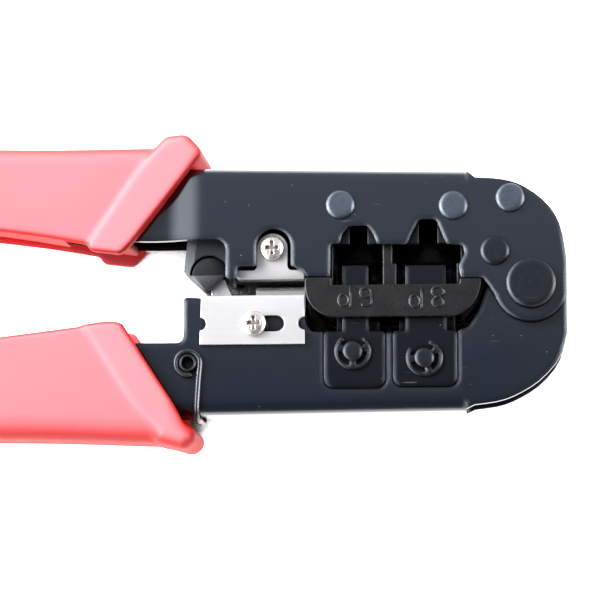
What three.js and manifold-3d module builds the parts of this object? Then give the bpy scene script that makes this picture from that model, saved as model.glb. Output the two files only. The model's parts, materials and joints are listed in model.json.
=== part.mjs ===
// Modular-plug crimping tool: two nested steel channel handles on one pivot rivet, a die block with
// 6P and 8P plug sockets, two punches that rise into them, cutting and stripping blades, soft grips.
//
// Frame: millimetres. The origin is the centre of the pivot rivet's back face, +X points to the nose,
// +Y to the upper handle, and +Z out of the marked side. The tool lies on its back on z = 0.
// Everything inside the tool group is drawn about the mid-plane between the two side plates.

import * as THREE from 'three';
import { mergeVertices } from 'three/addons/utils/BufferGeometryUtils.js';
import Module from 'manifold-3d';

const wasm = await Module();
wasm.setup();

// ---------- driving dimensions ----------

const MID = 11.0;                  // height of the mid-plane above the back face
const SHEET = 1.8;                 // steel sheet of both frames
const GAP = 0.15;                  // play between parts that lie against each other
const TAIL = -188;                 // rear end of both grips
const NOSE = 7.0;                  // front end of both frames

const UPPER_OUT = 9.0;             // half width over the upper frame's plates
const UPPER_IN = UPPER_OUT - SHEET;
const LOWER_OUT = 7.0;             // half width over the lower frame, which nests in the upper one
const LOWER_IN = LOWER_OUT - SHEET;
const CORE = 5.0;                  // half width of what sits between the lower frame's plates
const LIP_IN = 7.6;                // the die lips start here, in front of the punch necks
const BEND = 2.2;                  // outer bend radius between plate and spine
const STEEL_TAIL = TAIL + 6;       // rear end of both steel channels
const JOGGLE = { from: -63.5, to: -73.5, step: 1.5 };   // the upper channel narrows into its grip

const PIVOT = { shaft: 3.2, head: 4.9, face: 4.45, chamfer: 0.5 };
const RIVET = { shaft: 1.9, head: 2.86, face: 2.4, chamfer: 0.4, height: 1.0 };
const RIVETS = [[-37.4, 16.0], [-15.1, 15.6], [-3.9, 17.0], [-7.0, 6.5]];

const PIN_R = 1.97;
const PUNCHES = {
  '6p': { pin: [-35.1, -13.0], neck: [-37.2, -32.0], body: [-38.4, -29.9], tip: [-37.2, -32.0],
    lug: [-40.8, -28.75, -20.2], slot: [-38.0, -30.9], channel: [-39.0, -29.1], top: 4.1,
    contacts: 6, ring: 1.57 },
  '8p': { pin: [-21.0, -14.4], neck: [-24.7, -16.65], body: [-26.0, -15.0], tip: [-25.6, -15.4],
    lug: [-27.2, -14.6, -20.0], slot: [-25.5, -15.0], channel: [-26.7, -13.8], top: 4.0,
    contacts: 8, ring: 1.9 },
};
const LUG_TOP = -9.0;
const LUG_OUT = 7.35;              // the punch lugs stand a little proud of the lower plates
const CONTACT = { pitch: 1.02, edge: 0.36, z: [-3.6, -0.6], low: 1.0 };

const BLADE = 1.2;                 // blade thickness
const T_BLADE = { z: 5.6, screw: [-51.1, 7.75], bar: [-58.0, -44.75, 1.57, 3.4], tab: 3.05 };
const SLOT_BLADE = { z: LOWER_OUT + 0.05, screw: [-54.6, -7.4], right: -44.6, left: -65.4 };
const SCREW = { head: 2.5, height: 1.6, shank: 1.35 };
const SCREW_DEPTH = { upper: 3.3, lower: 2.2 };   // where the screw tips end, from the mid-plane

const STUD = [-67.75, -15.1];      // spring stud through the lower frame, with the wire clip on its ends
const STUD_R = 1.75;
const WIRE_R = 0.58;

const FACET_ERROR = 0.02;           // how far a faceted round may fall inside the true one
const BEVEL = { height: 0.8, depth: 0.45 };

// The spines run at a small slope away from each other towards the tail.
const upperSpine = (x) => 22.44 - 0.0222 * x;
const lowerSpine = (x) => -24.55 + 0.0115 * x;

// ---------- drawing helpers ----------

function arc(cx, cy, r, from, to, step = 2 * Math.acos(1 - Math.min(FACET_ERROR / r, 0.1))) {
  const n = Math.max(2, Math.ceil(Math.abs(to - from) / step));
  const points = [];
  for (let i = 0; i <= n; i += 1) {
    const a = from + ((to - from) * i) / n;
    points.push([cx + r * Math.cos(a), cy + r * Math.sin(a)]);
  }
  return points;
}

const circle = (cx, cy, r, n = 24) => arc(cx, cy, r, 0, 2 * Math.PI, (2 * Math.PI) / n).slice(0, -1);

// A closed outline of [x, y] points and [x, y, radius] corners: a corner with a radius becomes an
// arc tangent to both its sides.
function rounded(corners) {
  const points = [];
  corners.forEach(([x, y, r], i) => {
    if (!r) {
      points.push([x, y]);
      return;
    }
    const [px, py] = corners.at(i - 1);
    const [nx, ny] = corners[(i + 1) % corners.length];
    const a = new THREE.Vector2(px - x, py - y).normalize();
    const b = new THREE.Vector2(nx - x, ny - y).normalize();
    const half = Math.acos(THREE.MathUtils.clamp(a.dot(b), -1, 1)) / 2;
    const middle = a.clone().add(b).normalize().multiplyScalar(r / Math.sin(half));
    const reach = r / Math.tan(half);
    const centre = new THREE.Vector2(x, y).add(middle);
    const first = new THREE.Vector2(x, y).addScaledVector(a, reach).sub(centre);
    const last = new THREE.Vector2(x, y).addScaledVector(b, reach).sub(centre);
    let turn = last.angle() - first.angle();
    if (turn > Math.PI) turn -= 2 * Math.PI;
    if (turn < -Math.PI) turn += 2 * Math.PI;
    points.push(...arc(centre.x, centre.y, r, first.angle(), first.angle() + turn));
  });
  return points;
}

// A smooth stretch of outline through a few points.
function smooth(points, n) {
  const curve = new THREE.SplineCurve(points.map(([x, y]) => new THREE.Vector2(x, y)));
  return curve.getPoints(n).map((p) => [p.x, p.y]);
}

function toSolid(geometry) {
  const bare = geometry.clone();
  bare.deleteAttribute('normal');
  bare.deleteAttribute('uv');
  const merged = mergeVertices(bare, 1e-5);
  const vertProperties = new Float32Array(merged.attributes.position.array);
  const triVerts = new Uint32Array(merged.index.array);
  return new wasm.Manifold(new wasm.Mesh({ numProp: 3, vertProperties, triVerts }));
}

function toGeometry(solid) {
  const mesh = solid.getMesh();
  const geometry = new THREE.BufferGeometry();
  geometry.setAttribute('position', new THREE.BufferAttribute(mesh.vertProperties, 3));
  geometry.setIndex(new THREE.BufferAttribute(mesh.triVerts, 1));
  geometry.computeVertexNormals();
  return geometry;
}

// A flat outline in the XY plane, given thickness from z0 to z1.
function slab(points, z0, z1) {
  const shape = new THREE.Shape(points.map(([x, y]) => new THREE.Vector2(x, y)));
  const geometry = new THREE.ExtrudeGeometry(shape, { depth: z1 - z0, bevelEnabled: false });
  return toSolid(geometry.translate(0, 0, z0));
}

const bothSides = (points, z0, z1) => slab(points, z0, z1).add(slab(points, -z1, -z0));

const rect = (x0, x1, y0, y1) => [[x0, y0], [x1, y0], [x1, y1], [x0, y1]];

const bar = (x0, x1, y0, y1, z0, z1) => slab(rect(x0, x1, y0, y1), z0, z1);

// A cross-section in (y, z), drawn out along X from x0 to x1 and leaning with the given slope.
function beam(section, x0, x1, slope) {
  const shape = new THREE.Shape(section.map(([y, z]) => new THREE.Vector2(-z, y)));
  const geometry = new THREE.ExtrudeGeometry(shape, { depth: x1 - x0, bevelEnabled: false });
  geometry.rotateY(Math.PI / 2);
  geometry.translate(x0, 0, 0);
  const lean = new THREE.Matrix4().makeShear(slope, 0, 0, 0, 0, 0);
  return toSolid(geometry.applyMatrix4(lean));
}

// A cross-section in (offset to the left, z), drawn from one point of the XY plane to another.
function along(section, [x0, y0], [x1, y1]) {
  const start = new THREE.Vector3(x0, y0, 0);
  const way = new THREE.Vector3(x1, y1, 0).sub(start);
  const shape = new THREE.Shape(section.map(([u, z]) => new THREE.Vector2(u, z)));
  const geometry = new THREE.ExtrudeGeometry(shape, { depth: way.length(), bevelEnabled: false });
  const forward = way.normalize();
  const left = new THREE.Vector3(-forward.y, forward.x, 0);
  const frame = new THREE.Matrix4().makeBasis(left, new THREE.Vector3(0, 0, 1), forward);
  return toSolid(geometry.applyMatrix4(frame.setPosition(start)));
}

// A round piece on an axis along Z: the profile is a list of [radius, z].
function turned(profile, [x, y], segments = 24) {
  const points = profile.map(([r, z]) => new THREE.Vector2(r, z));
  const geometry = new THREE.LatheGeometry(points, segments);
  geometry.rotateX(Math.PI / 2);
  return toSolid(geometry.translate(x, y, 0));
}

const drill = (r, [x, y], z0, z1, n = 16) => slab(circle(x, y, r, n), z0, z1);

// Wire of round section along a smooth path.
function wire(points, radius, steps) {
  const path = new THREE.CatmullRomCurve3(points.map((p) => new THREE.Vector3(...p)), false, 'centripetal');
  const shape = new THREE.Shape(circle(0, 0, radius, 7).map(([x, y]) => new THREE.Vector2(x, y)));
  return toSolid(new THREE.ExtrudeGeometry(shape, { steps, extrudePath: path, bevelEnabled: false }));
}

// ---------- materials ----------

const finish = (color, roughness, metalness) =>
  new THREE.MeshStandardMaterial({ color, roughness, metalness });

const FINISHES = {
  enamel: finish('#33363f', 0.35, 0.3),
  die: finish('#3a3c44', 0.5, 0.3),
  cast: finish('#2c2d31', 0.8, 0.2),
  rivet: finish('#4c525e', 0.35, 0.6),
  blade: finish('#d9d8dc', 0.3, 0.9),
  nickel: finish('#d3cdc8', 0.2, 1.0),
  spring: finish('#24262b', 0.4, 0.8),
  grip: finish('#f0505a', 0.45, 0.0),
};

const tool = new THREE.Group();
tool.position.z = MID;

function put(name, solid, material) {
  const mesh = new THREE.Mesh(toGeometry(solid), material);
  mesh.name = name;
  tool.add(mesh);
}

// ---------- steel frames ----------

// Cross-section of the folded sheet: a web at height y0 and two bent legs down to the foot. The side is
// +1 for the upper frame and -1 for the lower one.
function channelSection(side, y0, out, foot) {
  const inner = BEND - SHEET;
  const outerBend = arc(y0 - side * BEND, out - BEND, BEND, side > 0 ? 0 : Math.PI, Math.PI / 2);
  const innerBend = arc(y0 - side * BEND, out - BEND, inner, Math.PI / 2, side > 0 ? 0 : Math.PI);
  const half = [...outerBend, [foot, out], [foot, out - SHEET], ...innerBend];
  return [...half, ...half.map(([y, z]) => [y, -z]).reverse()];
}

// Folded spine with short legs that run into the side plates.
function spine(side, height, out, x0, x1) {
  const y0 = height(0);
  return beam(channelSection(side, y0, out, y0 - side * (BEND + 1)), x0, x1, height(1) - y0);
}

// A skin through cross-sections in (y, z) that all have the same number of points, one at each x.
function loft(stations) {
  const count = stations[0].section.length;
  const ends = [stations[0], stations.at(-1)];
  const shape = ends[0].section.map(([y, z]) => new THREE.Vector2(y, z));
  const caps = THREE.ShapeUtils.triangulateShape(shape, []);
  const positions = stations.flatMap(({ x, section }) => section.flatMap(([y, z]) => [x, y, z]));
  const index = [];
  for (let i = 0; i + 1 < stations.length; i += 1) {
    for (let k = 0; k < count; k += 1) {
      const a = i * count + k;
      const b = i * count + ((k + 1) % count);
      index.push(a, b, a + count, b, b + count, a + count);
    }
  }
  const last = (stations.length - 1) * count;
  for (const [a, b, c] of caps) index.push(a, c, b, last + a, last + b, last + c);
  const clockwise = THREE.ShapeUtils.isClockWise(shape) === (ends[1].x > ends[0].x);
  if (clockwise) index.reverse();
  const geometry = new THREE.BufferGeometry();
  geometry.setAttribute('position', new THREE.Float32BufferAttribute(positions, 3));
  geometry.setIndex(index);
  return toSolid(geometry);
}

// Outline of the head part of one upper side plate, clockwise from the rear top corner.
function upperPlateOutline() {
  const edge = (x) => [x, upperSpine(x) - BEND];
  const nose = smooth([
    [-10.8, 21.2], [-5.8, 20.8], [-1.6, 19.5], [3.0, 16.1], [5.8, 11.5], [NOSE, 4.6],
  ], 14);
  const lobe = arc(0, 0, 7.4, -0.34, -2.84);
  return rounded([
    edge(JOGGLE.from), edge(-12.4), [-12.4, 22.5], ...nose, ...lobe,
    [-8.1, -0.5], [-9.4, 1.25, 0.8], [-13.75, 1.3, 0.3], [-14.1, 3.7, 1], [-12.9, 6.0, 1],
    [-13.3, 7.7, 0.4], [-16.4, 7.95, 0.3], [-17.2, 9.7, 1.5], [-18.5, 12.95, 1], [-21.9, 12.95, 1],
    [-23.6, 9.6, 2], [-24.3, 8.0, 0.3], [-30.2, 8.15, 0.3], [-30.9, 10.1, 1], [-32.1, 11.8, 0.8],
    [-35.7, 11.8, 0.8], [-37.1, 10.1, 1], [-37.5, 8.35, 0.3], [-39.4, 8.3, 0.8], [-39.45, 1.75, 0.3],
    [-44.3, 1.85, 0.5], [-45.3, 3.1, 0.6], [-47.25, 4.0, 0.5],
    ...arc(-50.7, 7.9, 3.45, 0, Math.PI),
    [-54.15, 4.0, 0.5], [-57.8, 3.95, 0.4], [-57.95, 1.45, 0.6], [-60.2, 1.45, 0.8],
    [-60.2, 9.4, 2.2], [JOGGLE.from, 9.5],
  ]);
}

// Lower edge of the upper channel inside its grip, as [x, y] from front to rear.
const CHANNEL_EDGE = [
  [JOGGLE.from + 0.5, 9.5], [-66, 9.55], [-75, 9.35], [-84, 9.5], [-92, 10.8], [-106, 13.2], [-128, 15.6],
  [-155, 17.4], [STEEL_TAIL, 18],
];

// The rear part of the upper frame: a channel that narrows in an S-bend where it enters the grip.
function upperChannel() {
  const { from, to, step } = JOGGLE;
  const bend = [0, 1, 2, 3, 4, 5, 6, 7, 8].map((i) => from + ((to - from) * i) / 8);
  const far = CHANNEL_EDGE.map(([x]) => x).filter((x) => x < to);
  const edge = new THREE.SplineCurve(CHANNEL_EDGE.map(([x, y]) => new THREE.Vector2(x, y)));
  const samples = edge.getPoints(120);
  return loft([from + 0.4, ...bend, ...far].map((x) => {
    const after = samples.findIndex((p) => p.x <= x);
    const p = samples[Math.max(after - 1, 0)];
    const q = samples[after];
    const foot = THREE.MathUtils.mapLinear(x, p.x, q.x, p.y, q.y);
    const out = UPPER_OUT - step * THREE.MathUtils.smoothstep(from - x, 0, from - to);
    return { x, section: channelSection(1, upperSpine(x), out, foot) };
  }));
}

function upperFrame() {
  const plates = bothSides(upperPlateOutline(), UPPER_IN, UPPER_OUT);
  let frame = plates.add(spine(1, upperSpine, UPPER_OUT, JOGGLE.from, -12.4)).add(upperChannel());
  frame = frame.subtract(drill(PIVOT.shaft + GAP / 2, [0, 0], -MID, MID, 32));
  for (const at of RIVETS) frame = frame.subtract(drill(RIVET.shaft + GAP / 2, at, -MID, MID));
  return frame;
}

// Outline of one lower side plate, clockwise from the rear edge of the handle part.
function lowerPlateOutline() {
  const { '6p': six, '8p': eight } = PUNCHES;
  const notch = ({ lug: [x0, x1, y] }) => [[x0 - GAP, y - GAP, 2], [x1 + GAP, y - GAP, 2]];
  const edge = (x) => [x, lowerSpine(x) + BEND];
  const nose = smooth([
    [NOSE, -9.6], [5.5, -14.4], [1.8, -18.7], [-2.4, -21.4], [-6.3, -22.9], [-11.2, -23.6],
  ], 12);
  return rounded([
    ...smooth([[STEEL_TAIL, -17], [-155, -16.4], [-128, -14.6], [-106, -12.3], [-86, -11.1]], 8),
    [-78, -11], [-68.75, -11, 1.3], [-68.75, -1.9, 0.8], [-65.3, -2.1, 0.5], [-65.2, -2.6],
    [-44.9, -2.6, 0.5], [-44.5, -7.4, 1.2], [-43.2, -9.0, 1.0], [six.lug[0] - GAP, -9.1, 0.3],
    ...notch(six), [six.lug[1] + GAP, -9.3, 0.3], [eight.lug[0] - GAP, -9.3, 0.3],
    ...notch(eight), [eight.lug[1] + GAP, -9.1, 0.3], [-12.4, -8.3, 1.5], [-10.3, -5.2, 1.5],
    [-8.6, -0.6, 1], ...arc(0, 0, NOSE, 2.7, 0),
    ...nose, [-12.9, -24.4], edge(-12.9), edge(STEEL_TAIL),
  ]);
}

function lowerFrame() {
  const plates = bothSides(lowerPlateOutline(), LOWER_IN, LOWER_OUT);
  let frame = plates.add(spine(-1, lowerSpine, LOWER_OUT, STEEL_TAIL, -12.9));
  frame = frame.subtract(drill(PIVOT.shaft + GAP / 2, [0, 0], -MID, MID, 32));
  frame = frame.subtract(drill(SCREW.shank + GAP, SLOT_BLADE.screw, -MID, MID));
  return frame.subtract(drill(STUD_R + GAP / 2, STUD, -MID, MID));
}

// ---------- die block, punches ----------

const LIP_BOTTOM = -6.3;

const lipOutline = () => {
  const rear = [[-44.45, -0.5], [-43.95, -2.6], [-42.9, -4.3], [-41.4, -5.5], [-39.5, LIP_BOTTOM]];
  const front = [[-14.9, LIP_BOTTOM], [-12.6, -5.1], [-11.1, -3.5], [-10.2, -1.6], [-9.8, 0.2]];
  return rounded([
    [-44.45, 1.55, 0.5], ...smooth(rear, 6), ...smooth(front, 6), [-9.75, 1.0, 0.3], [-13.8, 1.05],
    [-14.0, 0], [-39.2, 0], [-39.3, 1.5],
  ]);
};

// The part of the die block that lies between the upper plates, round the pivot boss.
function dieCoreOutline() {
  const under = (x) => [x, upperSpine(x) - SHEET - GAP];
  return rounded([
    under(-44.4), under(-12.4), ...smooth([[-8, 19.6], [-2, 17.6], [2.4, 13.8], [4.1, 9.2]], 8),
    ...arc(0, 0, NOSE + 0.4, 1.02, 2.75),
    [-8.6, 1.7, 0.3], [-9.6, 0.4, 0.5], [-10.6, -2.0, 2], [-13.6, -5.4, 1], [-39.6, -5.5, 1],
    [-43.0, -3.4, 1], [-44.2, 0.8],
  ]);
}

// Socket for a plug with its latch slot on top. Over the punch it ends at a wall the plug's nose rests on.
const PLUG_STOP = { z: -5.2, y: 6.2 };

function socket(x0, x1, top, latchX0, latchX1, latchTop) {
  const { z, y } = PLUG_STOP;
  const mouth = bar(x0, x1, 0, y, -MID, MID).add(bar(x0, x1, 0, top, z, MID));
  return mouth.add(bar(latchX0, latchX1, top - 1, latchTop, z, MID));
}

function dieBlock() {
  const lips = slab(lipOutline(), -UPPER_OUT, UPPER_OUT);
  const core = dieCoreOutline();
  const inside = slab(core, -UPPER_OUT, UPPER_OUT);
  const shadow = slab(rect(-60, 10, -10, 2), -LIP_IN, LIP_IN);
  let block = slab(core, -UPPER_IN + GAP, UPPER_IN - GAP);
  block = block.add(lips.intersect(inside)).add(lips.subtract(shadow));
  block = block.subtract(socket(-39.0, -29.1, 8.4, -35.7, -32.15, 11.9));
  block = block.subtract(socket(-26.5, -14.5, 8.4, -22.0, -18.3, 13.0));
  block = block.subtract(bar(-27.3, -13.7, 4.4, 8.4, PLUG_STOP.z, MID));
  for (const { slot, channel } of Object.values(PUNCHES)) {
    block = block.subtract(bar(slot[0], slot[1], -20, 1, -LIP_IN, LIP_IN));
    block = block.subtract(bar(channel[0], channel[1], -20, 0.1, -CORE - 0.4, CORE + 0.4));
  }
  for (const at of RIVETS) block = block.subtract(drill(RIVET.shaft + GAP / 2, at, -MID, MID));
  return block;
}

// One punch: a core between the lower plates, lugs that key into both plates, and a tip whose front
// bar grips the cable while a comb of thin edges behind it drives the contacts.
function punch({ pin, neck, body, tip, lug, top, contacts }) {
  const lugOutline = rounded([
    [neck[0], top, 0.3], [neck[0], LUG_TOP, 0], [lug[0], LUG_TOP, 0.6], [lug[0], lug[2], 2],
    [lug[1], lug[2], 2], [lug[1], LUG_TOP, 0.6], [neck[1], LUG_TOP, 0], [neck[1], top, 0.3],
  ]);
  let solid = slab(lugOutline, -LUG_OUT, LUG_OUT);
  solid = solid.add(bar(body[0], body[1], LUG_TOP - 2, 0.6, -CORE, CORE));
  solid = solid.add(bar(tip[0], tip[1], 0, top - 0.5, -CORE, CORE));
  solid = solid.subtract(bar(neck[0] - 4, neck[1] + 4, 1.8, top + 1, -CORE - 3, 0.5));
  const middle = (neck[0] + neck[1]) / 2;
  for (let i = 0; i < contacts; i += 1) {
    const x = middle + (i - (contacts - 1) / 2) * CONTACT.pitch;
    solid = solid.add(bar(x - CONTACT.edge / 2, x + CONTACT.edge / 2, CONTACT.low, top, ...CONTACT.z));
  }
  return solid.subtract(drill(PIN_R + GAP / 2, pin, -MID, MID, 18));
}

// Grooved pin with chamfered ends, and the open retaining ring that snaps into its groove.
const RING = { z: LUG_OUT + 0.08, thick: 0.5, out: 3.65, web: 2.85, bite: 1.62 };

function punchPin({ pin }) {
  const end = 8.9;
  const groove = [RING.z - 0.05, RING.z + RING.thick + 0.05];
  const half = [
    [PIN_R, groove[0]], [1.5, groove[0]], [1.5, groove[1]], [PIN_R, groove[1]],
    [PIN_R, end - 0.35], [PIN_R - 0.35, end], [0, end],
  ];
  const mirrored = half.map(([r, z]) => [r, -z]).reverse();
  return turned([...mirrored, ...half], pin, 18);
}

function retainingRing({ pin: [x, y], ring: open }, side) {
  const mouth = 0.62;
  const outer = arc(x, y, RING.out, open + mouth, open + 2 * Math.PI - mouth);
  const inner = arc(x, y, RING.web, open + 2 * Math.PI - mouth, open + mouth);
  const z = side > 0 ? RING.z : -RING.z - RING.thick;
  let ring = slab([...outer, ...inner], z, z + RING.thick);
  for (const turn of [Math.PI, Math.PI * 0.42, -Math.PI * 0.42]) {
    const a = open + turn;
    const tip = arc(x, y, RING.bite, a - 0.33, a + 0.33, 0.33);
    const root = arc(x, y, RING.web + 0.2, a + 0.25, a - 0.25, 0.5);
    const tooth = [...tip, ...root];
    ring = ring.add(slab(tooth, z, z + RING.thick));
  }
  return ring;
}

// ---------- rivets, bush, spring ----------

function headedRivet({ shaft, head, face, chamfer }, at, top, segments) {
  const seat = UPPER_OUT + 0.05;
  const half = [[shaft, seat], [head, seat], [head, top - chamfer], [face, top], [0, top]];
  const mirrored = half.map(([r, z]) => [r, -z]).reverse();
  return turned([...mirrored, ...half], at, segments);
}

const pivotBush = () => turned([
  [PIVOT.shaft + GAP / 2, -CORE], [4.3, -CORE], [4.3, CORE], [PIVOT.shaft + GAP / 2, CORE],
  [PIVOT.shaft + GAP / 2, -CORE],
], [0, 0], 24);

// Torsion spring round the pivot bush: it moves with the lower frame, one leg just above the lower
// spine and the other just below the die block, which it pushes away.
function returnSpring() {
  const r = 5.4;
  const turns = 2.6;
  const start = -Math.PI / 2;
  const pitch = 1.35;
  const points = [[-13.2, -6.95, -2.2], [-6, -6.2, -2.2]];
  const steps = 30;
  for (let i = 0; i <= steps; i += 1) {
    const a = start + (turns * 2 * Math.PI * i) / steps;
    points.push([r * Math.cos(a), r * Math.sin(a), -2.2 + (pitch * turns * i) / steps]);
  }
  points.push([-9.4, -13.2, 1.6], [-13.6, -22.1, 1.6]);
  return wire(points, 0.5, 72);
}

// ---------- blades and their holders ----------

// The upper holder carries the T blade. Its rear end is the guide for round cable: a nose with sloping
// facets, and an arc groove round the part that the cable rests on.
const GUIDE = { arc: [-63.8, 2.8], r: 3.95, groove: 0.45, floor: 3.9, face: CORE - 0.35 };
const CUTTERS = { upper: [1.8, 3.0], lower: [0.4, 1.6], round: [1.4, 2.6] };

function bladeHolder() {
  const under = (x) => [x, upperSpine(x) - SHEET - GAP];
  const outline = rounded([
    under(-68.2), under(-44.6), [-44.6, 2.1], [-58.6, 2.1, 0.5], [-60.6, 3.4, 0.5], [-61.2, 2.3, 0.5],
    [-64.7, -0.6, 1], [-69.0, 3.4, 0.8], [-68.4, 10.2],
  ]);
  let holder = slab(outline, -CORE, CORE);
  const shoulder = [under(-63.2), under(-44.6), [-44.6, 12.2], [-63.2, 12.2]];
  holder = holder.add(slab(shoulder, -UPPER_IN + GAP, UPPER_IN - GAP));
  const { arc: [ax, ay], r, groove, floor, face } = GUIDE;
  const round = slab(circle(ax, ay, r, 32), floor, MID).trimByPlane([0, 1, 0], ay);
  holder = holder.subtract(round);
  const inner = slab(circle(ax, ay, r - groove, 32), floor - 1, face);
  holder = holder.add(inner.intersect(slab(outline, -CORE, CORE)));
  const slope = (wide, top, drop) => [[0, top + 0.01], [wide, top + 0.01], [wide, top - drop]];
  holder = holder.subtract(along(slope(3.4, CORE, 1.5), [-67.3, 0], [-66.1, 12.1]));
  holder = holder.subtract(along(slope(-2.2, CORE, 1.6), [-67.9, 3.6], [-63.9, -1.0]));
  holder = holder.subtract(along(slope(3.0, face, 1.3), [-63.8, 6.6], [-61.9, 0.5]));
  const [roundLow, roundHigh] = CUTTERS.round;
  holder = holder.subtract(bar(-65.4, -58.4, -2, 6.4, roundLow - GAP, roundHigh + GAP));
  const [seatLow, seatHigh] = CUTTERS.upper;
  holder = holder.subtract(bar(-58.2, -40, 0, 9.1, seatLow - 0.1, seatHigh + 0.1));
  holder = holder.subtract(bar(-58.2, -40, 0, 4.4, CUTTERS.lower[0] - GAP, seatLow));
  holder = holder.add(drill(3.0, T_BLADE.screw, CORE - 0.5, T_BLADE.z - 0.05, 20));
  return holder.subtract(drill(SCREW.shank + GAP, T_BLADE.screw, SCREW_DEPTH.upper - 0.1, MID));
}

// The wedge that sharpens a blade: taken off its front face z, down to the edge at y. The blade's body
// lies above the edge when side is 1 and below it when side is -1.
function wedge(x0, x1, y, z, side) {
  const { height, depth } = BEVEL;
  const inner = y + side * height;
  const section = [
    [inner, z], [inner, z + depth], [y - side * height, z + depth], [y - side * height, z - 2 * depth],
  ];
  return beam(side > 0 ? section : section.reverse(), x0, x1, 0);
}

function tBlade() {
  const { z, screw: [sx, sy], bar: [x0, x1, y0, y1], tab } = T_BLADE;
  const outline = rounded([
    ...arc(sx, sy, tab, 0, Math.PI), [sx - tab, y1, 0.8], [x0, y1, 0.2], [x0, y0],
    [x1, y0], [x1, y1, 0.2], [sx + tab, y1, 0.8],
  ]);
  const blade = slab(outline, z, z + BLADE).subtract(wedge(x0 - 1, x1 + 1, y0, z + BLADE, 1));
  return blade.subtract(drill(SCREW.shank + GAP, [sx, sy], 0, MID));
}

function slottedBlade() {
  const { z, screw: [sx, sy], left, right } = SLOT_BLADE;
  const bottom = -11.5;
  const top = -1.75;
  const outline = rounded([
    [left, bottom], [right, bottom], [right, top, 0.2], [left + 1, top, 0.4], [left + 0.3, top - 0.9, 0.3],
  ]);
  let blade = slab(outline, z, z + BLADE);
  const slotR = 1.6;
  const slotEnd = -50.2;
  const farEnd = arc(slotEnd, sy, slotR, -Math.PI / 2, Math.PI / 2);
  const nearEnd = arc(sx - 0.2, sy, slotR, Math.PI / 2, Math.PI * 1.5);
  blade = blade.subtract(slab([...farEnd, ...nearEnd], 0, MID));
  blade = blade.subtract(wedge(left - 1, right + 1, top, z + BLADE, -1));
  const nick = 1.3;
  blade = blade.subtract(drill(nick, [left, sy], 0, MID, 20));
  return blade.subtract(drill(nick, [right, sy], 0, MID, 20));
}

// Cutting blades shear past each other behind the stripping pair.
const upperCutter = () => bar(-58, -44.8, 1.75, 9, ...CUTTERS.upper);

function lowerCutter() {
  const outline = rounded([[-54.8, -9], [-44.9, -9], [-44.9, 0.65, 0.2], [-54.8, 0.65, 0.4]]);
  return slab(outline, ...CUTTERS.lower).subtract(wedge(-60, -40, 0.65, CUTTERS.lower[1], -1));
}

const roundStripper = () => slab(
  rounded([
    [-63.8, -9], [-59.2, -9], [-59.2, -2.2], [-60.5, 0.9, 0.5], [-61.1, 2.5, 0.7], [-63.6, 1.4, 1.5],
  ]), ...CUTTERS.round);

function lowerBladeBlock() {
  let block = slab(rounded([
    [-64.6, -12.5, 1], [-44.9, -12.5, 1], [-44.9, -4.4, 0.5], [-64.6, -4.6, 0.5],
  ]), -CORE, CORE);
  const [cutterLow, cutterHigh] = CUTTERS.lower;
  block = block.subtract(bar(-57.5, -40, -9.1, 0, cutterLow - 0.1, cutterHigh + 0.1));
  const [roundLow, roundHigh] = CUTTERS.round;
  block = block.subtract(bar(-63.9, -59.1, -9.1, 0, roundLow - 0.1, roundHigh + 0.1));
  const hole = SCREW_DEPTH.lower - 0.1;
  block = block.subtract(drill(SCREW.shank + GAP, SLOT_BLADE.screw, hole, MID));
  return block.subtract(drill(SCREW.shank + GAP, SLOT_BLADE.screw, -MID, -hole));
}

// Pan-head screw with a cross recess; side is -1 for the one at the back.
function screw([x, y], seat, tip, side) {
  const top = seat + SCREW.height;
  const r = SCREW.head;
  const profile = [
    [0, tip], [SCREW.shank, tip], [SCREW.shank, seat], [r, seat], [r, seat + 0.75],
    [r * 0.94, seat + 1.15], [r * 0.7, top - 0.14], [r * 0.35, top], [0, top],
  ];
  let solid = turned(profile, [x, y], 20);
  const arm = 0.36;
  const reach = 1.35;
  const floor = top - 0.9;
  solid = solid.subtract(bar(x - reach, x + reach, y - arm, y + arm, floor, top + 1));
  solid = solid.subtract(bar(x - arm, x + arm, y - reach, y + reach, floor, top + 1));
  return side > 0 ? solid : solid.mirror([0, 0, 1]);
}

// ---------- spring stud and wire clip ----------

// Both ends of the stud are bored hollow and flared over.
function studPin() {
  const end = 8.4;
  const bore = { r: 1.25, floor: 4.5 };
  const flare = [[STUD_R, end - 0.25], [STUD_R - 0.2, end]];
  const half = [...flare, [bore.r, end], [bore.r, bore.floor], [0, bore.floor]];
  const mirrored = half.map(([r, z]) => [r, -z]).reverse();
  return turned([...mirrored, ...half], STUD, 18);
}

// The clip loops round both ends of the stud and passes under the lower spine.
function wireClip() {
  const [cx, cy] = STUD;
  const r = STUD_R + WIRE_R + 0.1;
  const z = LOWER_OUT + WIRE_R + 0.1;
  const under = lowerSpine(cx) - WIRE_R - 0.12;
  const loopStart = 5.05;
  const loopEnd = 0.25;
  const side = arc(cx, cy, r, loopStart, loopEnd, Math.PI / 8).map(([x, y]) => [x, y, z]);
  const front = [...side, [cx + 2.15, cy - 2.5, z], [cx + 1.85, cy - 7.0, z], [cx + 1.75, under + 1.6, z]];
  const back = front.map(([x, y, depth]) => [x, y, -depth]).reverse();
  const below = [[cx + 1.75, under, z - 1.7], [cx + 1.75, under, 0], [cx + 1.75, under, 1.7 - z]];
  return wire([...front, ...below, ...back], WIRE_R, 84);
}

// ---------- grips ----------

const GRIP_OUT = 10.4;             // half width of the grip body
const COLLAR_OUT = MID;            // half width of the raised collar

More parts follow.
